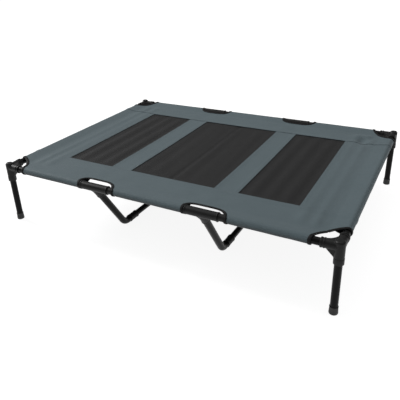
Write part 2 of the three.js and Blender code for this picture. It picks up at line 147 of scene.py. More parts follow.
def discard(obj):
    old = obj.data
    bpy.data.objects.remove(obj)
    bpy.data.meshes.remove(old)


def ring_faces(first, second, count):
    """Quads between two rings of vertex numbers that start at first and second."""
    return [
        (first + i, first + (i + 1) % count, second + (i + 1) % count, second + i)
        for i in range(count)
    ]


def revolve(name, profile, sides=64):
    """A body of revolution about Z. profile is a loop of (radius, z), or starts and ends at radius 0."""
    verts, faces, rows = [], [], []
    for radius, z in profile:
        rows.append(len(verts))
        if radius == 0:
            verts.append((0, 0, z))
            continue
        for i in range(sides):
            angle = 2 * math.pi * i / sides
            verts.append((radius * math.cos(angle), radius * math.sin(angle), z))
    pairs = list(zip(rows, rows[1:]))
    if profile[0][0] > 0:
        pairs.append((rows[-1], rows[0]))
    on_axis = {rows[i] for i, (radius, _) in enumerate(profile) if radius == 0}
    for a, b in pairs:
        if a in on_axis:
            faces += [(a, b + (i + 1) % sides, b + i) for i in range(sides)]
        elif b in on_axis:
            faces += [(a + i, a + (i + 1) % sides, b) for i in range(sides)]
        else:
            faces += ring_faces(a, b, sides)
    return new_object(name, verts, faces)


def fix_normals(obj):
    work = bmesh.new()
    work.from_mesh(obj.data)
    bmesh.ops.recalc_face_normals(work, faces=work.faces)
    work.to_mesh(obj.data)
    work.free()


def crisp(obj, degrees=35):
    """Smooth shading with sharp edges where the faces turn by more than this."""
    obj.data.shade_smooth()
    obj.data.set_sharp_from_angle(angle=math.radians(degrees))
    return obj


def place(obj, matrix):
    obj.data.transform(matrix)
    if matrix.determinant() < 0:
        obj.data.flip_normals()
    return obj


def tube_along(name, points, radius, wall, sides=48):
    """A hollow tube along points, with rounded rims."""
    points = [Vector(p) for p in points]
    edge = wall * 0.35
    tangents = []
    for i in range(len(points)):
        ahead = points[min(i + 1, len(points) - 1)] - points[max(i - 1, 0)]
        tangents.append(ahead.normalized())
    side = tangents[0].orthogonal().normalized()
    frames = []
    for tangent in tangents:
        side = (side - tangent * side.dot(tangent)).normalized()
        frames.append((side, tangent.cross(side)))
    rings = []

    def ring(index, r, along):
        across, up = frames[index]
        centre = points[index] + tangents[index] * along
        rings.append([
            centre + across * r * math.cos(a) + up * r * math.sin(a)
            for a in (2 * math.pi * i / sides for i in range(sides))
        ])

    last = len(points) - 1
    inner = radius - wall
    ring(0, radius - edge, 0)
    ring(0, radius, edge)
    for i in range(1, last):
        ring(i, radius, 0)
    ring(last, radius, -edge)
    ring(last, radius - edge, 0)
    ring(last, inner + edge, 0)
    ring(last, inner, -edge)
    for i in range(last - 1, 0, -1):
        ring(i, inner, 0)
    ring(0, inner, edge)
    ring(0, inner + edge, 0)
    verts = [v for loop in rings for v in loop]
    faces = []
    for i in range(len(rings)):
        faces += ring_faces(i * sides, (i + 1) % len(rings) * sides, sides)
    obj = new_object(name, verts, faces)
    fix_normals(obj)
    return crisp(obj)


def finish_piece(obj, material, slot, *nodes):
    """Gives a finished piece its material and its body, and hides the CAD nodes it stands for."""
    obj.data.materials.clear()
    obj.data.materials.append(material)
    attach(obj, "root")
    if nodes:
        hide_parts(*nodes)
    return obj


# ---------------------------------------------------------------- materials

class Nodes:
    """A short way to write a node tree."""

    def __init__(self, name):
        self.material = bpy.data.materials.new(name)
        self.material.use_nodes = True
        self.tree = self.material.node_tree
        self.shader = self.tree.nodes["Principled BSDF"]
        self.point = self.add("ShaderNodeTexCoord").outputs["Object"]

    def add(self, kind, **settings):
        node = self.tree.nodes.new(kind)
        for key, value in settings.items():
            setattr(node, key, value)
        return node

    def link(self, source, target):
        self.tree.links.new(source, target)

    def feed(self, node, key, value):
        if isinstance(value, bpy.types.NodeSocket):
            self.link(value, node.inputs[key])
        else:
            node.inputs[key].default_value = value

    def math(self, operation, a, b=0.0, c=0.0):
        node = self.add("ShaderNodeMath", operation=operation)
        for key, value in enumerate((a, b, c)):
            self.feed(node, key, value)
        return node.outputs[0]

    def noise(self, scale, detail=2.0, rough=0.5):
        node = self.add("ShaderNodeTexNoise")
        self.link(self.point, node.inputs["Vector"])
        node.inputs["Scale"].default_value = scale
        node.inputs["Detail"].default_value = detail
        node.inputs["Roughness"].default_value = rough
        return node.outputs["Fac"]

    def split(self):
        node = self.add("ShaderNodeSeparateXYZ")
        self.link(self.point, node.inputs[0])
        return node.outputs

    def wave(self, value, pitch, phase=0.0):
        """A sine of value with this pitch, from 0 to 1."""
        turned = self.math("MULTIPLY_ADD", value, 2 * math.pi / pitch, phase)
        return self.math("MULTIPLY_ADD", self.math("SINE", turned), 0.5, 0.5)

    def ramp(self, value, low, high):
        node = self.add("ShaderNodeMapRange", interpolation_type="SMOOTHSTEP")
        self.feed(node, "Value", value)
        node.inputs["From Min"].default_value = low
        node.inputs["From Max"].default_value = high
        return node.outputs[0]

    def mix(self, factor, a, b):
        node = self.add("ShaderNodeMix", data_type="RGBA")
        self.feed(node, 0, factor)
        self.feed(node, 6, a)
        self.feed(node, 7, b)
        return node.outputs[2]

    def bump(self, height, strength, distance, before=None):
        node = self.add("ShaderNodeBump")
        self.link(height, node.inputs["Height"])
        node.inputs["Strength"].default_value = strength
        node.inputs["Distance"].default_value = distance
        if before:
            self.link(before, node.inputs["Normal"])
        return node.outputs["Normal"]

    def set(self, **values):
        for key, value in values.items():
            self.feed(self.shader, key.replace("_", " "), value)


def grey(value, tint=(1, 1, 1)):
    return (value * tint[0], value * tint[1], value * tint[2], 1)


def woven(nodes, pitch):
    """Plain weave on all sides of a piece: returns the height of the threads, 0 to 1."""
    x, y, z = nodes.split()
    over = nodes.wave(x, pitch)
    along = nodes.math("ADD", y, z)
    under = nodes.wave(along, pitch)
    checks = nodes.wave(nodes.math("ADD", x, along), pitch * 2)
    return nodes.math("MAXIMUM", nodes.math("MULTIPLY", over, checks),
                      nodes.math("MULTIPLY", under, nodes.math("SUBTRACT", 1.0, checks)))


def canvas_material():
    """Slate grey coated polyester, plain woven, with a soft sheen, faint handling marks and painted shade
    where its faces turn downward.
    """
    nodes = Nodes("slate_canvas")
    threads = woven(nodes, 1.3 * MM)
    cloudy = nodes.noise(7, 3)
    streaks = nodes.noise(90, 2)
    base = nodes.mix(cloudy, (0.061, 0.085, 0.094, 1), (0.079, 0.107, 0.118, 1))
    base = nodes.mix(nodes.math("MULTIPLY", streaks, 0.25), base, (0.092, 0.121, 0.133, 1))
    base = nodes.mix(nodes.math("MULTIPLY", threads, 0.30), base, (0.101, 0.132, 0.146, 1))
    # Painted shade: the cloth's colour goes darker as its faces turn downward, round the rails and under the
    # sleeves.
    facing_up = nodes.add("ShaderNodeSeparateXYZ")
    nodes.link(nodes.add("ShaderNodeNewGeometry").outputs["Normal"], facing_up.inputs[0])
    painted_shade_by_facing = nodes.ramp(facing_up.outputs[2], -0.55, 0.55)
    nodes.set(Base_Color=nodes.mix(painted_shade_by_facing, (0.028, 0.034, 0.037, 1), base))
    nodes.set(Roughness=nodes.math("MULTIPLY_ADD", nodes.noise(30, 2), 0.12, 0.60))
    nodes.set(Specular_IOR_Level=0.2, Sheen_Weight=0.06, Sheen_Roughness=0.5)
    soft = nodes.bump(nodes.noise(26, 3), 0.25, 1.2 * MM)
    nodes.set(Normal=nodes.bump(threads, 0.35, 0.35 * MM, soft))
    return nodes.material


def net_material():
    """Charcoal vinyl-coated net: crossing cords, with painted shade in the holes between them."""
    nodes = Nodes("charcoal_net")
    x, y, _ = nodes.split()
    pitch = 1.9 * MM
    cords = nodes.math("MAXIMUM", nodes.wave(x, pitch), nodes.wave(y, pitch))
    painted_dark_holes = nodes.math("SUBTRACT", 1.0, nodes.ramp(cords, 0.45, 0.8))
    cloudy = nodes.noise(9, 3)
    cord_colour = nodes.mix(cloudy, (0.009, 0.009, 0.0092, 1), (0.016, 0.0157, 0.0157, 1))
    # Painted shade: the holes are coloured near black, in place of the shadowed floor that would show
    # through them.
    nodes.set(Base_Color=nodes.mix(painted_dark_holes, cord_colour, (0.004, 0.004, 0.0045, 1)))
    nodes.set(Roughness=nodes.math("MULTIPLY_ADD", painted_dark_holes, 0.3, 0.48))
    nodes.set(Specular_IOR_Level=0.25)
    nodes.set(Normal=nodes.bump(cords, 0.6, 0.5 * MM))
    return nodes.material


def tape_material():
    """Black woven binding tape with ribs across it."""
    nodes = Nodes("black_tape")
    threads = woven(nodes, 0.9 * MM)
    base = nodes.mix(threads, (0.002, 0.002, 0.0022, 1), (0.006, 0.006, 0.0064, 1))
    nodes.set(Base_Color=base, Roughness=0.62)
    nodes.set(Specular_IOR_Level=0.15)
    nodes.set(Normal=nodes.bump(threads, 0.5, 0.3 * MM))
    return nodes.material


def thread_material(name, colour):
    nodes = Nodes(name)
    x, y, z = nodes.split()
    twist = nodes.wave(nodes.math("ADD", nodes.math("ADD", x, y), z), 0.5 * MM)
    nodes.set(Base_Color=nodes.mix(twist, grey(0.6, colour), grey(1.0, colour)), Roughness=0.6)
    nodes.set(Normal=nodes.bump(twist, 0.4, 0.1 * MM))
    return nodes.material


def steel_material():
    """Black powder coat: a fine orange peel, and paler where hands and the floor have rubbed it."""
    nodes = Nodes("black_powder_coat")
    peel = nodes.noise(900, 2)
    worn = nodes.ramp(nodes.noise(35, 5, 0.65), 0.60, 0.78)
    base = nodes.mix(nodes.math("MULTIPLY", worn, 0.35), grey(0.0025), grey(0.008))
    nodes.set(Base_Color=base)
    nodes.set(Roughness=nodes.math("MULTIPLY_ADD", nodes.noise(60, 3), 0.14, 0.25))
    nodes.set(Specular_IOR_Level=0.10)
    nodes.set(Normal=nodes.bump(peel, 0.12, 0.15 * MM))
    return nodes.material


def plastic_material(name, value):
    """Satin moulded plastic with a fine spark-eroded grain and scuffed high spots."""
    nodes = Nodes(name)
    grain = nodes.noise(1400, 3, 0.6)
    scuffs = nodes.ramp(nodes.noise(70, 5, 0.7), 0.58, 0.75)
    base = nodes.mix(nodes.math("MULTIPLY", scuffs, 0.4), grey(value), grey(value * 1.9))
    nodes.set(Base_Color=base)
    nodes.set(Roughness=nodes.math("MULTIPLY_ADD", grain, 0.16, 0.38))
    nodes.set(Specular_IOR_Level=0.2)
    nodes.set(Normal=nodes.bump(grain, 0.18, 0.2 * MM))
    return nodes.material


def rubber_material():
    nodes = Nodes("black_rubber")
    grain = nodes.noise(700, 3, 0.6)
    dust = nodes.ramp(nodes.noise(50, 4, 0.6), 0.45, 0.75)
    low = nodes.ramp(nodes.split()[2], 7 * MM, 0.0)
    base = nodes.mix(nodes.math("MULTIPLY", dust, nodes.math("MULTIPLY_ADD", low, 0.6, 0.15)),
                     grey(0.011), grey(0.075, (1, 0.95, 0.88)))
    nodes.set(Base_Color=base, Roughness=0.68)
    nodes.set(Normal=nodes.bump(grain, 0.25, 0.25 * MM))
    return nodes.material


def zinc_material():
    nodes = Nodes("zinc_plate")
    grain = nodes.noise(300, 4)
    nodes.set(Base_Color=nodes.mix(grain, (0.40, 0.40, 0.42, 1), (0.58, 0.58, 0.60, 1)))
    nodes.set(Roughness=nodes.math("MULTIPLY_ADD", grain, 0.2, 0.25))
    nodes.set(Metallic=1.0)
    nodes.set(Normal=nodes.bump(nodes.wave(nodes.split()[1], 0.6 * MM), 0.1, 0.05 * MM))
    return nodes.material


CANVAS_LOOK = canvas_material()
NET_LOOK = net_material()
TAPE_LOOK = tape_material()
SLATE_THREAD = thread_material("slate_thread", (0.13, 0.165, 0.185))
BLACK_THREAD = thread_material("black_thread", (0.02, 0.02, 0.021))
STEEL_LOOK = steel_material()
PLASTIC_LOOK = plastic_material("moulded_black", 0.006)
SLEEVE_LOOK = plastic_material("sleeve_black", 0.0035)
RUBBER_LOOK = rubber_material()
ZINC_LOOK = zinc_material()


# ---------------------------------------------------------------- the cover's surface

def smooth(value, low, high):
    t = min(max((value - low) / (high - low), 0.0), 1.0)
    return t * t * (3 - 2 * t)


def bell(value, width):
    return math.exp(-(value / width) ** 2)


SLEEVE_TOP = Vector((SLEEVE_SEAM, SHEET_Z - RAIL_Z))
TANGENT = math.sqrt(SLEEVE_TOP.length_squared - SLEEVE_R ** 2)
TOUCH = math.acos(SLEEVE_R / SLEEVE_TOP.length)
TOUCH_FROM = math.atan2(SLEEVE_TOP.y, SLEEVE_TOP.x) + TOUCH
TOUCH_TURN = 2 * math.pi - 2 * TOUCH
ARC = SLEEVE_R * TOUCH_TURN
FLAP = 2 * TANGENT + ARC


def round_rail(distance):
    """Where the sleeve runs, from the seam over the rail and back under it.

    Returns how far in from the rail axis, how far above it, and the outward normal of the two."""
    if distance < TANGENT:
        angle = TOUCH_FROM
        touch = Vector((math.cos(angle), math.sin(angle))) * SLEEVE_R
        point = SLEEVE_TOP.lerp(touch, distance / TANGENT)
    elif distance < TANGENT + ARC:
        angle = TOUCH_FROM + (distance - TANGENT) / SLEEVE_R
        point = Vector((math.cos(angle), math.sin(angle))) * SLEEVE_R
    else:
        angle = TOUCH_FROM + TOUCH_TURN
        touch = Vector((math.cos(angle), math.sin(angle))) * SLEEVE_R
        back = SLEEVE_TOP - Vector((0, 1.6 * MM))
        point = touch.lerp(back, min((distance - TANGENT - ARC) / TANGENT, 1.0))
    return point.x, point.y, math.cos(angle), math.sin(angle)


def side_folds(x, y):
    """Soft folds along the side panels, from one corner cut-out to the other."""
    inward = SLEEVE_X - abs(x) + 5 * MM * noise.noise(Vector((0.4, y * 3, x)))
    along = 0.45 + 0.55 * (y / HALF_Y) ** 2
    folds = bell(inward - 34 * MM, 13 * MM) + 0.8 * bell(inward - 78 * MM, 16 * MM)
    return SIDE_FOLD_HEIGHT * folds * along


def corner_slack(x, y):
    """The loose cloth in the back right corner: a pucker across the seam and folds to the cut-out."""
    slack_x, slack_y = x - 0.510, y - (SEAM_Y + 12 * MM)
    height = -PUCKER_DEPTH * bell(slack_x + 0.4 * slack_y, 20 * MM) * bell(slack_y, 34 * MM)
    height += PUCKER_RIDGE * bell(slack_x - 42 * MM, 18 * MM) * bell(slack_y, 40 * MM)
    out_x, out_y = HALF_X - x, HALF_Y - y
    reach = math.hypot(out_x, out_y)
    rays = math.sin(11 * math.atan2(out_y, out_x) + 0.9)
    return height + CORNER_FOLD_HEIGHT * rays * bell(reach - 120 * MM, 45 * MM)


def relief(x, y):
    """Height of the stretched sheet over its flat plane: sag, pulls from the cut-outs and slack."""
    height = -SHEET_SAG * (1 - (x / HALF_X) ** 2) * (1 - (y / HALF_Y) ** 2)
    near_edge = min(SLEEVE_X - abs(x), SLEEVE_Y - abs(y))
    for side_x in (-1, 1):
        for side_y in (-1, 1):
            out_x, out_y = x - side_x * TEE_PLACE, HALF_Y - side_y * y
            reach = math.hypot(out_x, out_y)
            pull = bell(reach - 95 * MM, 60 * MM) * math.cos(7 * math.atan2(out_y, out_x + 12 * MM) + side_x)
            height += PULL_HEIGHT * pull
            out_x, out_y = HALF_X - side_x * x, HALF_Y - side_y * y
            reach = math.hypot(out_x, out_y)
            pull = bell(reach - 150 * MM, 70 * MM) * math.cos(10 * math.atan2(out_y, out_x) + side_y)
            height += PULL_HEIGHT * pull
    height += UNEVEN_SHEET * noise.noise(Vector((x * 7, y * 7, 3.1)))
    height += side_folds(x, y) + corner_slack(x, y)
    return height * smooth(near_edge, 0, 40 * MM)


def on_cover(x, y, lift):
    """A point of the cover's pattern laid on the bed. lift is along the cloth's outward normal."""
    past_x, past_y = abs(x) - SLEEVE_X, abs(y) - SLEEVE_Y
    if past_x <= 0 and past_y <= 0:
        return Vector((x, y, SHEET_Z + relief(x, y) + lift))
    if past_y > past_x:
        lift += UNEVEN_SLEEVE * noise.noise(Vector((x * 22, past_y * 14, 7.7 + y)))
        inward, up, normal_in, normal_up = round_rail(past_y)
        side = math.copysign(1, y)
        return Vector((x, side * (HALF_Y - inward - normal_in * lift), RAIL_Z + up + normal_up * lift))
    lift += UNEVEN_SLEEVE * noise.noise(Vector((past_x * 14, y * 22, 2.3 + x)))
    inward, up, normal_in, normal_up = round_rail(past_x)
    side = math.copysign(1, x)
    return Vector((side * (HALF_X - inward - normal_in * lift), y, RAIL_Z + up + normal_up * lift))


# ---------------------------------------------------------------- cloth from patterns

def bezier(start, first, second, end, steps=14):
    points = []
    for i in range(steps + 1):
        t = i / steps
        points.append((Vector(start) * (1 - t) ** 3 + Vector(first) * 3 * t * (1 - t) ** 2
                       + Vector(second) * 3 * t * t * (1 - t) + Vector(end) * t ** 3))
    return points


def corner_cut(inset, flap=FLAP):
    """Edge of a corner cut-out, from the front flap's end to the side flap's, for the corner at (-x, -y)."""
    scale = 1 - inset / (CORNER_CUT[0][0] * MM)
    curve = bezier(*((x * MM * scale, y * MM * scale) for x, y in CORNER_CUT))
    outside = SLEEVE_SEAM - flap
    points = [Vector((curve[0].x, outside)), *curve, Vector((outside, curve[-1].y))]
    return [Vector((p.x - HALF_X, p.y - HALF_Y)) for p in points]


def tee_cut(where, inset, flap=FLAP):
    """Edge of a tee cut-out, drawn as for the front rail, from its left end to its right."""
    centre_x = middle(f"{where}_tee_binding").x
    half, depth = TEE_CUT_HALF, max(y for _, y in TEE_CUTS[where]) * MM
    controls = [
        (x * MM * (half - inset) / half, y * MM * (depth - inset) / depth) for x, y in TEE_CUTS[where]
    ]
    outside = SLEEVE_SEAM - flap
    start, end = (controls[0][0], outside), (controls[-1][0], outside)
    points = [Vector(start), *bezier(*controls[:4]), *bezier(*controls[4:]), Vector(end)]
    return [Vector((p.x + centre_x, p.y - HALF_Y)) for p in points]


def mirrored(points, flip_x, flip_y):
    return [Vector((-p.x if flip_x else p.x, -p.y if flip_y else p.y)) for p in points]


def resample(points, step, closed=False):
    """The same line with no stretch longer than step."""
    points = [Vector(p) for p in points]
    ends = points + points[:1] if closed else points
    out = []
    for a, b in zip(ends, ends[1:]):
        count = max(1, math.ceil((b - a).length / step))
        out += [a.lerp(b, i / count) for i in range(count)]
    if not closed:
        out.append(points[-1])
    return out


def inside_polygon(xs, ys, loop):
    """Which points are inside the loop, and how far each is from its edge."""
    start = np.array([tuple(p) for p in loop])
    end = np.roll(start, -1, axis=0)
    inside = np.zeros(len(xs), bool)
    near = np.full(len(xs), 1e9)
    for (ax, ay), (bx, by) in zip(start, end):
        crosses = (ay > ys) != (by > ys)
        with np.errstate(divide="ignore", invalid="ignore"):
            inside ^= crosses & (xs < (bx - ax) * (ys - ay) / (by - ay) + ax)
        length = (bx - ax) ** 2 + (by - ay) ** 2
        t = np.clip(((xs - ax) * (bx - ax) + (ys - ay) * (by - ay)) / length, 0, 1)
        near = np.minimum(near, np.hypot(xs - ax - t * (bx - ax), ys - ay - t * (by - ay)))
    return inside, near


def grid_lines(low, high, sleeve):
    """Coordinates across a piece: close together where the cloth bends round a rail."""
    lines, value = [low], low
    while value < high:
        past = abs(value) - sleeve
        bends = TANGENT - 6 * MM < past < TANGENT + ARC + 4 * MM
        value += 3.2 * MM if bends else 6.5 * MM
        lines.append(min(value, high))
    return lines


def polygon_area(loop):
    return abs(sum(a.x * b.y - b.x * a.y for a, b in zip(loop, loop[1:] + loop[:1]))) / 2


def cut_cloth(name, outline, thickness, lift):
    """A cloth piece cut to the outline and laid on the bed. lift(x, y) is its height over the cover."""
    loop = resample(outline, CUT_STEP, closed=True)
    low = Vector((min(p.x for p in loop), min(p.y for p in loop)))
    high = Vector((max(p.x for p in loop), max(p.y for p in loop)))
    across = grid_lines(low.x, high.x, SLEEVE_X)
    along = grid_lines(low.y, high.y, SLEEVE_Y)
    grid_x, grid_y = (a.ravel() for a in np.meshgrid(across, along))
    inside, near = inside_polygon(grid_x, grid_y, loop)
    keep = inside & (near > 1.6 * MM)
    points = loop + [Vector((x, y)) for x, y in zip(grid_x[keep], grid_y[keep])]
    edges = [(i, (i + 1) % len(loop)) for i in range(len(loop))]
    flat, _, faces, *_ = delaunay_2d_cdt(points, edges, [], 1, 1e-6)
    verts = [on_cover(p.x, p.y, lift(p.x, p.y)) for p in flat]
    obj = new_object(name, verts, [tuple(f) for f in faces])
    solid = obj.modifiers.new("thickness", "SOLIDIFY")
    solid.thickness = thickness
    solid.offset = 0
    apply_modifiers(obj)
    return crisp(obj, 50), polygon_area(loop)


def sheet_piece(name, outline, thickness, lift, material, slot, nodes):
    obj, area = cut_cloth(name, outline, thickness, lift)
    finish_piece(obj, material, slot, *nodes)
    width = max(p.x for p in outline) - min(p.x for p in outline)
    length = max(p.y for p in outline) - min(p.y for p in outline)
    min(area, width * length)
    return obj


# ---------------------------------------------------------------- seams, tapes and stitches

def surface_frame(point, ahead, lift):
    """The laid point of the pattern, with the directions along the line, across it and out of the cloth."""
    step = 0.4 * MM
    here = on_cover(point.x, point.y, lift)
    along = on_cover(point.x + ahead.x * step, point.y + ahead.y * step, lift) - here
    across = on_cover(point.x - ahead.y * step, point.y + ahead.x * step, lift) - here
    out = along.cross(across)
    if out.length < 1e-12:
        out = Vector((0, 0, 1))
    out.normalize()
    along.normalize()
    return here, along, out.cross(along), out


def line_directions(points):
    directions = []
    for i in range(len(points)):
        ahead = points[min(i + 1, len(points) - 1)] - points[max(i - 1, 0)]
        directions.append(ahead.normalized())
    return directions


def edge_tape(name, line, *nodes):
    """Binding tape folded over a cut edge, along a line of the pattern."""
    points = resample(line, 3 * MM)
    sides = 14
    verts, faces = [], []
    for point, ahead in zip(points, line_directions(points)):
        here, _, across, out = surface_frame(point, ahead, TAPE_LIFT)
        for i in range(sides):
            angle = 2 * math.pi * i / sides
            c, s = math.cos(angle), math.sin(angle)
            wide = math.copysign(abs(c) ** 0.6, c) * TAPE_HALF_WIDTH
            thick = math.copysign(abs(s) ** 0.7, s) * TAPE_HALF_THICKNESS
            verts.append(here + across * wide + out * thick)
    for row in range(len(points) - 1):
        faces += ring_faces(row * sides, (row + 1) * sides, sides)
    faces.append(tuple(reversed(range(sides))))
    faces.append(tuple(range(len(verts) - sides, len(verts))))
    obj = new_object(name, verts, faces)
    fix_normals(obj)
    crisp(obj, 60)
    return finish_piece(obj, TAPE_LOOK, "binding_tape", *nodes)


def stitch_row(verts, faces, line, lift):
    """Adds a row of stitches along a line of the pattern to verts and faces. lift(x, y) is their height."""
    length, radius = STITCH_LENGTH, STITCH_R
    points = resample(line, STITCH_PITCH)
    for a, b in zip(points, points[1:]):
        if (b - a).length < 0.6 * STITCH_PITCH:
            continue
        ahead = (b - a).normalized()
        centre = (a + b) / 2
        here, along, across, out = surface_frame(centre, ahead, lift(centre.x, centre.y))
        first = len(verts)
        verts.append(here - along * length / 2 - out * radius)
        for end in (-0.3, 0.3):
            for i in range(5):
                angle = 2 * math.pi * i / 5
                ring = across * math.cos(angle) + out * (math.sin(angle) + 0.3)
                verts.append(here + along * end * length + ring * radius)
        verts.append(here + along * length / 2 - out * radius)
        faces += [(first, first + 1 + (i + 1) % 5, first + 1 + i) for i in range(5)]
        faces += ring_faces(first + 1, first + 6, 5)
        faces += [(first + 11, first + 6 + i, first + 6 + (i + 1) % 5) for i in range(5)]


def level(height):
    """The same height everywhere, as a lift for stitch_row()."""
    return lambda x, y: height


def stitches(name, rows, material, slot):
    """One piece of stitching from rows of (line, lift)."""
    verts, faces = [], []
    for line, lift in rows:
        stitch_row(verts, faces, line, lift)
    obj = new_object(name, verts, faces)
    fix_normals(obj)
    return finish_piece(obj, material, slot)


# ---------------------------------------------------------------- the cover's pieces

BAND_LIFT = 1.7 * MM
PANEL_LIFT = 0.5 * MM
NET_LIFT = -0.5 * MM
TAPE_LIFT = PANEL_LIFT + 0.5 * MM
HEM = 12 * MM
HEM_RISE = 0.7 * MM
CENTRE_LAP = 5 * MM


def band_lift(x, y):
    """The front and back bands lap over the other pieces at the seam, and the folded edge is thicker."""
    return PANEL_LIFT + (BAND_LIFT - PANEL_LIFT) * smooth(abs(y), SEAM_Y + 24 * MM, SEAM_Y + HEM)


def strip_lift(x, y):
    inward = min(abs(x) - STRIP_IN, STRIP_OUT - abs(x))
    return PANEL_LIFT + HEM_RISE * smooth(inward, HEM + 3 * MM, HEM)


def panel_lift(x, y):
    return PANEL_LIFT + HEM_RISE * smooth(abs(x) - SIDE_SEAM_X, HEM + 3 * MM, HEM)


def net_lift(x, y):
    """The net stands in low waves that run front to back, flat where it is sewn."""
    inside = smooth(SEAM_Y - abs(y), 0, 60 * MM)
    if abs(x) < STRIP_IN:
        edge = smooth(STRIP_IN - abs(x), 0, 30 * MM)
        waves = 0.8 * math.sin(x * 74 + 0.8) + 0.5 * math.sin(x * 121 + 6 * y)
        return NET_LIFT + MM * (waves * edge * inside - 3 * bell(x, 8 * MM))
    edge = smooth(min(abs(x) - STRIP_OUT, SIDE_SEAM_X - abs(x)), 0, 16 * MM)
    waves = 1.6 * math.sin(abs(x) * 112 + 1.2) + 0.6 * math.sin(x * 57 + 5 * y)
    return NET_LIFT + MM * waves * edge * (0.4 + 0.6 * inside)


def centre_lift(sign):
    """The centre window's halves lap over each other in the middle, the right one on top."""
    def lift(x, y):
        return net_lift(x, y) + sign * 0.6 * NET * smooth(abs(x), CENTRE_LAP + 3 * MM, CENTRE_LAP)
    return lift


def band_outline(side):
    """A band's pattern, drawn as for the front: flaps round three rails, with the cut-outs."""
    side_end = SLEEVE_X + FLAP
    left_corner = list(reversed(corner_cut(TAPE_COVER)))
    right_corner = mirrored(corner_cut(TAPE_COVER), True, False)
    return [
        Vector((-side_end, -SEAM_Y)), *left_corner,
        *tee_cut(f"{side}_left", TAPE_COVER), *tee_cut(f"{side}_right", TAPE_COVER),
        *right_corner, Vector((side_end, -SEAM_Y)),
    ]


def rectangle(x0, x1, y0, y1):
    return [Vector((x0, y0)), Vector((x1, y0)), Vector((x1, y1)), Vector((x0, y1))]


def make_bands():
    for side, flip in (("front", False), ("back", True)):
        loop = band_outline(side)
        if flip:
            loop = list(reversed(mirrored(loop, False, True)))
        sheet_piece(
            f"{side}_band_cloth", loop, CANVAS, band_lift, CANVAS_LOOK, "cover_canvas",
            [f"cover_{side}_band"],
        )


def make_side_panels():
    reach = SEAM_Y + LAP
    for side, sign in (("left", -1), ("right", 1)):
        x0, x1 = sorted((sign * SIDE_SEAM_X, sign * (SLEEVE_X + FLAP)))
        sheet_piece(
            f"{side}_panel_cloth", rectangle(x0, x1, -reach, reach), CANVAS, panel_lift, CANVAS_LOOK,
            "cover_canvas", [f"cover_{side}_panel"],
        )


def make_strips():
    reach = SEAM_Y + LAP
    for side, sign in (("left", -1), ("right", 1)):
        x0, x1 = sorted((sign * STRIP_IN, sign * STRIP_OUT))
        sheet_piece(
            f"{side}_strip_cloth", rectangle(x0, x1, -reach, reach), CANVAS, strip_lift, CANVAS_LOOK,
            "cover_canvas", [f"cover_{side}_strip"],
        )


def make_nets():
    reach = SEAM_Y + LAP
    for side, sign in (("left", -1), ("right", 1)):
        x0, x1 = sorted((sign * (STRIP_OUT - LAP), sign * (SIDE_SEAM_X + LAP)))
        sheet_piece(
            f"{side}_window_net", rectangle(x0, x1, -reach, reach), NET, net_lift, NET_LOOK,
            "window_mesh", [f"mesh_{side}_window"],
        )
        x0, x1 = sorted((-sign * CENTRE_LAP, sign * (STRIP_IN + LAP)))
        sheet_piece(
            f"centre_{side}_window_net", rectangle(x0, x1, -reach, reach), NET, centre_lift(sign), NET_LOOK,
            "window_mesh", [f"mesh_centre_{side}_window"],
        )


def tape_lines():
    """The middle line of every binding tape on the pattern, by name."""
    lines = {}
    for side_y, flip_y in (("front", False), ("back", True)):
        for side_x, flip_x in (("left", False), ("right", True)):
            where = f"{side_y}_{side_x}"
            lines[f"{where}_corner"] = mirrored(corner_cut(TAPE_MIDDLE, FLAP - TAPE_END_GAP), flip_x, flip_y)
            lines[f"{where}_tee"] = mirrored(tee_cut(where, TAPE_MIDDLE, FLAP - TAPE_END_GAP), False, flip_y)
    return lines


def make_tapes():
    for where, line in tape_lines().items():
        edge_tape(f"{where}_tape", line, f"{where}_binding")


def make_stitching():
    band_rows, strip_rows = [], []
    over_band = level(BAND_LIFT + CANVAS / 2)
    over_panel = level(PANEL_LIFT + HEM_RISE + CANVAS / 2)
    over_tape = level(TAPE_LIFT + TAPE_HALF_THICKNESS - STITCH_SINK)

    def over_net(x, y):
        return centre_lift(1)(x, y) + NET / 2

    end_x = SLEEVE_X - 6 * MM
    for side in (-1, 1):
        for row in (3 * MM, 9 * MM):
            y = side * (SEAM_Y + row)
            band_rows.append(([(-end_x, y), (end_x, y)], over_band))
        for x, inward in ((STRIP_IN, 1), (STRIP_OUT, -1), (SIDE_SEAM_X, 1)):
            for row in (2.5 * MM, 9.5 * MM):
                place_x = side * (x + inward * row)
                strip_rows.append(([(place_x, -SEAM_Y + MM), (place_x, SEAM_Y - MM)], over_panel))
    stitches("band_seam_stitching", band_rows, SLATE_THREAD, "cover_canvas")
    stitches("window_seam_stitching", strip_rows, SLATE_THREAD, "cover_canvas")
    centre_rows = [([(x, -SEAM_Y + MM), (x, SEAM_Y - MM)], over_net) for x in (-3 * MM, 3 * MM)]
    stitches("centre_seam_stitching", centre_rows, BLACK_THREAD, "window_mesh")
    tape_rows = [(line, over_tape) for line in tape_lines().values()]
    stitches("tape_stitching", tape_rows, BLACK_THREAD, "binding_tape")


# ---------------------------------------------------------------- frame pieces

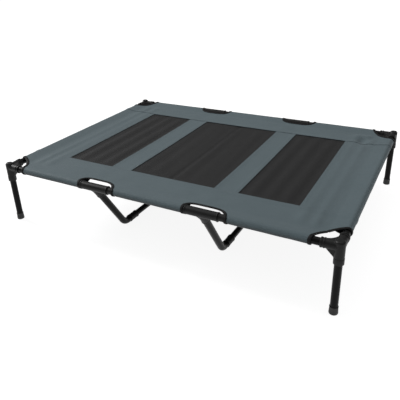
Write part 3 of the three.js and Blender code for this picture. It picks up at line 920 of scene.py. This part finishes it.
# Moulded connectors, drawn with the rail axes crossing at the origin.
BORE_R = TUBE_R + 0.3 * MM
SUPPORT_BORE_R = SUPPORT_TUBE_R + 0.3 * MM
SOCKET_R = 13.3 * MM
SOCKET_REACH = 50 * MM
RIB_R = 14.4 * MM
BORE_START = 16 * MM
UPRIGHT_R = 14 * MM
UPRIGHT_DROP = RAIL_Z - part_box("front_left_corner_connector")[0].z
CAP_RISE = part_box("front_left_corner_connector")[1].z - RAIL_Z
TEE_R = 13.7 * MM
TEE_ARM_LEFT = TEE_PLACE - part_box("front_right_tee_connector")[0].x
TEE_ARM_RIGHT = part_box("front_right_tee_connector")[1].x - TEE_PLACE
BRANCH_LEAN = math.radians(33)
BRANCH_REACH = 44 * MM
RIBS = ((12.5 * MM, 8.5 * MM), (5 * MM, 0))
GUSSET_REACH = 37 * MM
GUSSET_THICKNESS = 8 * MM
WEB_REACH = 38 * MM
WEB_THROAT = 25 * MM
WEB_THICKNESS = 19 * MM
CAP_EDGE_R = 6.5 * MM
CAP_EDGE_STEPS = 6
LEG_BAND_HEIGHT = 18 * MM
LEG_BAND_RISE = 0.5 * MM
TEE_GUSSET_REACH = 34 * MM
TEE_GUSSET_THICKNESS = 15 * MM
LIP_WIDTH = 3.5 * MM
LIP_RISE = 1.1 * MM
MOUTH_WIDTH = 4 * MM
MOUTH_RISE = 0.6 * MM
BORE_SIDES = 48
BEND_R = 35 * MM
BEND_STEPS = 24
VOXEL = 0.95 * MM
SMOOTHING = 5

ALONG_X = Matrix.Rotation(math.pi / 2, 4, "Y")
ALONG_Y = Matrix.Rotation(-math.pi / 2, 4, "X")
HALF_TURN = Matrix.Rotation(math.pi, 4, "Z")


def rounded(profile, radius=0.5 * MM, steps=3):
    """The same profile with its corners rounded. Points on the axis stay as they are."""
    out = []
    for i, corner in enumerate(profile):
        corner = Vector(corner)
        if corner.x == 0:
            out.append((0, corner.y))
            continue
        before, after = Vector(profile[i - 1]) - corner, Vector(profile[(i + 1) % len(profile)]) - corner
        reach = min(radius, before.length / 2.2, after.length / 2.2)
        start, end = corner + before.normalized() * reach, corner + after.normalized() * reach
        for step in range(steps + 1):
            t = step / steps
            point = start * (1 - t) ** 2 + corner * 2 * t * (1 - t) + end * t * t
            out.append((point.x, point.y))
    return out


def cylinder(name, radius, low, high, sides=64):
    return revolve(name, [(0, low), (radius, low), (radius, high), (0, high)], sides)


def plate(name, outline, thickness):
    """An upright plate in the XZ plane from (x, z) points."""
    half = thickness / 2
    count = len(outline)
    verts = [(x, side * half, z) for side in (-1, 1) for x, z in outline]
    faces = [tuple(range(count)), tuple(reversed(range(count, 2 * count)))] + ring_faces(0, count, count)
    obj = new_object(name, verts, faces, smooth=False)
    fix_normals(obj)
    return obj


def joined(name, objects):
    """One mesh that holds all the objects' faces."""
    work = bmesh.new()
    for obj in objects:
        work.from_mesh(obj.data)
        discard(obj)
    mesh = bpy.data.meshes.new(name)
    work.to_mesh(mesh)
    work.free()
    obj = bpy.data.objects.new(name, mesh)
    bpy.context.scene.collection.objects.link(obj)
    return obj


def blended(name, objects):
    """One moulded body from closed shapes that overlap, with soft fillets where they meet."""
    obj = joined(name, objects)
    remesh = obj.modifiers.new("remesh", "REMESH")
    remesh.mode = "VOXEL"
    remesh.voxel_size = VOXEL
    soften = obj.modifiers.new("soften", "SMOOTH")
    soften.factor = 0.5
    soften.iterations = SMOOTHING
    apply_modifiers(obj)
    return obj


def boolean(obj, other, operation):
    step = obj.modifiers.new("cut", "BOOLEAN")
    step.operation = operation
    step.object = other
    step.solver = "EXACT"
    apply_modifiers(obj)
    discard(other)
    return obj


def collar(name, radius, low, high, inner=BORE_R):
    """A raised ring about Z, with rounded edges."""
    return revolve(name, rounded([(inner, low), (radius, low), (radius, high), (inner, high)], 0.6 * MM))


def corner_connector():
    """Corner connector with its level sockets along +X and +Y."""
    gusset = [
        (0, 0), (GUSSET_REACH, 0), (GUSSET_REACH, -SOCKET_R + MM),
        (UPRIGHT_R - 2 * MM, -GUSSET_REACH), (0, -GUSSET_REACH),
    ]
    inner = bezier((WEB_REACH, SOCKET_R - 2 * MM), (WEB_THROAT, SOCKET_R), (SOCKET_R, WEB_THROAT),
                   (SOCKET_R - 2 * MM, WEB_REACH))
    web = [(0, 0), (WEB_REACH, 0), *((point.x, point.y) for point in inner), (0, WEB_REACH)]
    cap = [(0, -UPRIGHT_DROP), (UPRIGHT_R, -UPRIGHT_DROP), (UPRIGHT_R, CAP_RISE - CAP_EDGE_R)]
    for step in range(1, CAP_EDGE_STEPS + 1):
        angle = step / CAP_EDGE_STEPS * math.pi / 2
        radius = UPRIGHT_R - CAP_EDGE_R * (1 - math.cos(angle))
        cap.append((radius, CAP_RISE - CAP_EDGE_R * (1 - math.sin(angle))))
    cap.append((0, CAP_RISE))
    body = blended("corner", [
        place(cylinder("level", SOCKET_R, 0, SOCKET_REACH), ALONG_X),
        place(cylinder("level", SOCKET_R, 0, SOCKET_REACH), ALONG_Y),
        revolve("upright", cap),
        plate("gusset", gusset, GUSSET_THICKNESS),
        place(plate("gusset", gusset, GUSSET_THICKNESS), Matrix.Rotation(math.pi / 2, 4, "Z")),
        place(plate("web", web, WEB_THICKNESS), ALONG_Y),
    ])
    for turn in (ALONG_X, ALONG_Y):
        for start, end in RIBS:
            rib = collar("rib", RIB_R, SOCKET_REACH - start, SOCKET_REACH - end)
            boolean(body, place(rib, turn), "UNION")
    band = collar("band", UPRIGHT_R + LEG_BAND_RISE, -UPRIGHT_DROP, LEG_BAND_HEIGHT - UPRIGHT_DROP)
    boolean(body, band, "UNION")
    for turn in (ALONG_X, ALONG_Y):
        bore = cylinder("bore", BORE_R, BORE_START, SOCKET_REACH + 10 * MM, BORE_SIDES)
        boolean(body, place(bore, turn), "DIFFERENCE")
    boolean(body, cylinder("bore", BORE_R, -70 * MM, -BORE_START, BORE_SIDES), "DIFFERENCE")
    return crisp(body, 40)


def tee_connector():
    """Tee connector for the front rail: a sleeve along X and a socket that leans in under the bed."""
    branch = [
        (0, -BRANCH_REACH), (SOCKET_R, -BRANCH_REACH), (UPRIGHT_R, -TEE_R), (UPRIGHT_R - MM, 0), (0, 0),
    ]
    curve = bezier((-UPRIGHT_R + MM, 8 * MM - BRANCH_REACH), (-UPRIGHT_R, -28 * MM), (-20 * MM, -17 * MM),
                   (-TEE_GUSSET_REACH, -TEE_R + 2 * MM))
    flare = [(-UPRIGHT_R + 2 * MM, MOUTH_WIDTH - BRANCH_REACH), *((point.x, point.y) for point in curve)]
    gusset = [(0, 0), (0, MOUTH_WIDTH - BRANCH_REACH), *flare, (-TEE_GUSSET_REACH, 0)]
    body = blended("tee", [
        place(cylinder("sleeve", TEE_R, -TEE_ARM_LEFT + MM, TEE_ARM_RIGHT - MM), ALONG_X),
        revolve("branch", branch),
        plate("gusset", gusset, TEE_GUSSET_THICKNESS),
    ])
    for low in (-TEE_ARM_LEFT, TEE_ARM_RIGHT - LIP_WIDTH):
        lip = collar("lip", TEE_R + LIP_RISE, low, low + LIP_WIDTH)
        boolean(body, place(lip, ALONG_X), "UNION")
    mouth = collar("mouth", SOCKET_R + MOUTH_RISE, -BRANCH_REACH, MOUTH_WIDTH - BRANCH_REACH, SUPPORT_BORE_R)
    boolean(body, mouth, "UNION")
    boolean(body, place(cylinder("bore", BORE_R, -0.1, 0.1, BORE_SIDES), ALONG_X), "DIFFERENCE")
    boolean(body, cylinder("bore", SUPPORT_BORE_R, -0.1, -BORE_START, BORE_SIDES), "DIFFERENCE")
    place(body, Matrix.Rotation(BRANCH_LEAN, 4, "X"))
    return crisp(body, 40)


def copy_of(obj, name, matrix):
    twin = bpy.data.objects.new(name, obj.data.copy())
    bpy.context.scene.collection.objects.link(twin)
    return place(twin, matrix)


def straight(name, node, axis, radius):
    """A straight tube from end to end of its CAD node, along axis 0, 1 or 2."""
    points = [middle(node) for _ in range(3)]
    points[0][axis], points[2][axis] = (corner[axis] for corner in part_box(node))
    finish_piece(tube_along(name, points, radius, TUBE_WALL), STEEL_LOOK, "tube_steel", node)


def make_corners():
    connector = corner_connector()
    corners = [("front_left", -1, -1), ("front_right", 1, -1), ("back_right", 1, 1), ("back_left", -1, 1)]
    for quarter, (where, x, y) in enumerate(corners):
        turn = Matrix.Rotation(quarter * math.pi / 2, 4, "Z")
        spot = Matrix.Translation((x * HALF_X, y * HALF_Y, RAIL_Z)) @ turn
        finish_piece(copy_of(connector, f"{where}_corner", spot), PLASTIC_LOOK, "connector_plastic",
                     f"{where}_corner_connector")
        straight(f"{where}_leg", f"{where}_leg_tube", 2, TUBE_R)
        cap = foot_cap(f"{where}_foot", middle(f"{where}_leg_tube"))
        finish_piece(cap, RUBBER_LOOK, "foot_rubber", f"{where}_foot_cap")
    discard(connector)


def foot_cap(name, centre):
    """Rubber cap pushed on a leg: a lip at the top, a slight flare and a rounded tread."""
    height = span("front_left_foot_cap").z
    profile = [
        (0, 1.2 * MM), (5 * MM, 1.2 * MM), (6 * MM, 0), (10.2 * MM, 0), (12.2 * MM, 0.8 * MM),
        (13 * MM, 2.8 * MM), (12.75 * MM, 9 * MM), (12.1 * MM, height - 4.2 * MM),
        (12.5 * MM, height - 3.4 * MM), (12.5 * MM, height - 0.8 * MM), (12.1 * MM, height),
        (BORE_R + 0.1 * MM, height), (BORE_R, height - 0.8 * MM), (BORE_R, 4 * MM), (0, 4 * MM),
    ]
    cap = revolve(name, rounded(profile, 0.8 * MM))
    fix_normals(cap)
    place(cap, Matrix.Translation((centre.x, centre.y, 0)))
    return crisp(cap, 45)


def make_rails():
    for side in ("front", "back"):
        for where in ("left", "middle", "right"):
            straight(f"{side}_rail_tube_{where}", f"{side}_rail_{where}_tube", 0, TUBE_R)
    for side in ("left", "right"):
        for where in ("front", "back"):
            straight(f"{side}_rail_tube_{where}", f"{side}_rail_{where}_tube", 1, TUBE_R)


def bent_line(end_y):
    """Centre line of a support's bent tube, in the YZ plane from the front rail's axis."""
    down = Vector((0, math.sin(BRANCH_LEAN), -math.cos(BRANCH_LEAN)))
    level = Vector((0, 1, 0))
    corner = down * (RAIL_Z - SUPPORT_Z) / math.cos(BRANCH_LEAN)
    turn = math.pi / 2 - BRANCH_LEAN
    setback = BEND_R * math.tan(turn / 2)
    centre = corner + level * setback + Vector((0, 0, BEND_R))
    points = [down * (BORE_START + 0.3 * MM), (corner - down * setback) * 0.5]
    for step in range(BEND_STEPS + 1):
        angle = -math.pi / 2 - turn * (1 - step / BEND_STEPS)
        points.append(centre + Vector((0, math.cos(angle), math.sin(angle))) * BEND_R)
    points += [Vector((0, (points[-1].y + end_y) / 2, corner.z)), Vector((0, end_y, corner.z))]
    return points


def floor_sleeve(name, node):
    """Moulded sleeve over the joint of two floor tubes, with a ridge round each end."""
    low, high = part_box(node)
    length = high.y - low.y
    outer = (high.z - low.z) / 2
    slim = outer - 0.7 * MM
    profile = [
        (SUPPORT_BORE_R, 0), (outer - 0.4 * MM, 0), (outer, 0.8 * MM), (outer, 5 * MM), (slim, 6.2 * MM),
        (slim, length - 6.2 * MM), (outer, length - 5 * MM), (outer, length - 0.8 * MM),
        (outer - 0.4 * MM, length), (SUPPORT_BORE_R, length),
    ]
    sleeve = revolve(name, rounded(profile, 0.5 * MM))
    fix_normals(sleeve)
    middle_x, middle_z = (low.x + high.x) / 2, (low.z + high.z) / 2
    place(sleeve, Matrix.Translation((middle_x, low.y, middle_z)) @ ALONG_Y)
    return crisp(sleeve, 40)


def make_supports():
    tee = tee_connector()
    for side, x in (("left", -TEE_PLACE), ("right", TEE_PLACE)):
        for end in ("front", "back"):
            node = f"{side}_support_{end}_tube"
            reach = HALF_Y - (abs(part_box(node)[1].y) if end == "front" else abs(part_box(node)[0].y))
            home = Matrix.Translation((x, -HALF_Y, RAIL_Z))
            if end == "back":
                home = HALF_TURN @ Matrix.Translation((-x, -HALF_Y, RAIL_Z))
            line = [home @ point for point in bent_line(reach)]
            finish_piece(tube_along(f"{side}_support_{end}", line, SUPPORT_TUBE_R, TUBE_WALL), STEEL_LOOK,
                         "tube_steel", node)
            finish_piece(copy_of(tee, f"{end}_{side}_tee", home), PLASTIC_LOOK, "connector_plastic",
                         f"{end}_{side}_tee_connector")
            finish_piece(floor_sleeve(f"{side}_floor_sleeve_{end}", f"{side}_support_{end}_sleeve"),
                         SLEEVE_LOOK, "sleeve_plastic", f"{side}_support_{end}_sleeve")
        straight(f"{side}_floor_tube", f"{side}_support_floor_tube", 1, FLOOR_TUBE_R)
    discard(tee)


def make_couplers():
    """The couplers inside the side rails stay as the frame has them, with a plated finish."""
    for side in ("left", "right"):
        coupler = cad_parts[f"{side}_rail_coupler"]
        coupler.data.materials.clear()
        coupler.data.materials.append(ZINC_LOOK)


make_bands()
make_side_panels()
make_strips()
make_nets()
make_tapes()
make_stitching()
make_corners()
make_rails()
make_supports()
make_couplers()


# ---------------------------------------------------------------- camera, light and floor

FLOOR_REACH = 60


def make_camera():
    """Looks down over the bed from in front of its right end."""
    camera = bpy.data.cameras.new("camera")
    camera.lens = 42.68
    camera.sensor_width = 36
    camera.shift_x = 0.00775
    camera.shift_y = -0.0709
    obj = bpy.data.objects.new("camera", camera)
    spot = Vector((0.7841, -1.4852, 0.8972))
    right = Vector((0.87654, 0.48005, -0.03500)).normalized()
    forward = Vector((-0.44940, 0.79018, -0.41671)).normalized()
    up = right.cross(forward)
    obj.matrix_world = Matrix((
        (right.x, up.x, -forward.x, spot.x),
        (right.y, up.y, -forward.y, spot.y),
        (right.z, up.z, -forward.z, spot.z),
        (0, 0, 0, 1),
    ))
    bpy.context.scene.collection.objects.link(obj)
    bpy.context.scene.camera = obj


def area_light(name, location, target, size, power):
    light = bpy.data.lights.new(name, "AREA")
    light.shape = "RECTANGLE"
    light.size, light.size_y = size
    light.energy = power
    obj = bpy.data.objects.new(name, light)
    obj.location = location
    obj.rotation_euler = (Vector(target) - Vector(location)).to_track_quat("-Z", "Y").to_euler()
    bpy.context.scene.collection.objects.link(obj)


def make_studio():
    """A white floor that glows a little, so that shadows on it are faint, under a large soft light."""
    sides = ((-1, -1), (1, -1), (1, 1), (-1, 1))
    floor = new_object("floor", [(x * FLOOR_REACH, y * FLOOR_REACH, 0) for x, y in sides], [(0, 1, 2, 3)])
    nodes = Nodes("pale_floor")
    nodes.set(Base_Color=(0.25, 0.25, 0.25, 1), Roughness=0.9)
    nodes.set(Specular_IOR_Level=0.0, Emission_Color=(1, 1, 1, 1), Emission_Strength=0.90)
    floor.data.materials.append(nodes.material)
    world = bpy.data.worlds.new("studio")
    world.use_nodes = True
    tree = world.node_tree
    direction = tree.nodes.new("ShaderNodeTexCoord").outputs["Generated"]
    split = tree.nodes.new("ShaderNodeSeparateXYZ")
    tree.links.new(direction, split.inputs[0])
    height = tree.nodes.new("ShaderNodeMapRange")
    height.interpolation_type = "SMOOTHSTEP"
    for key, value in (("From Min", 0.05), ("From Max", 0.9), ("To Min", 0.20), ("To Max", 0.50)):
        height.inputs[key].default_value = value
    tree.links.new(split.outputs[2], height.inputs["Value"])
    tree.links.new(height.outputs[0], tree.nodes["Background"].inputs["Strength"])
    tree.nodes["Background"].inputs["Color"].default_value = (1, 1, 1, 1)
    bpy.context.scene.world = world
    area_light("overhead", (0.0, 0.2, 2.6), (0, 0, 0), (2.6, 2.0), 16)
    area_light("key", (-9.2, 0.6, 5.6), (0, 0, 0.2), (2.4, 2.4), 900)
    bpy.context.scene.view_settings.view_transform = "Standard"


make_camera()
make_studio()
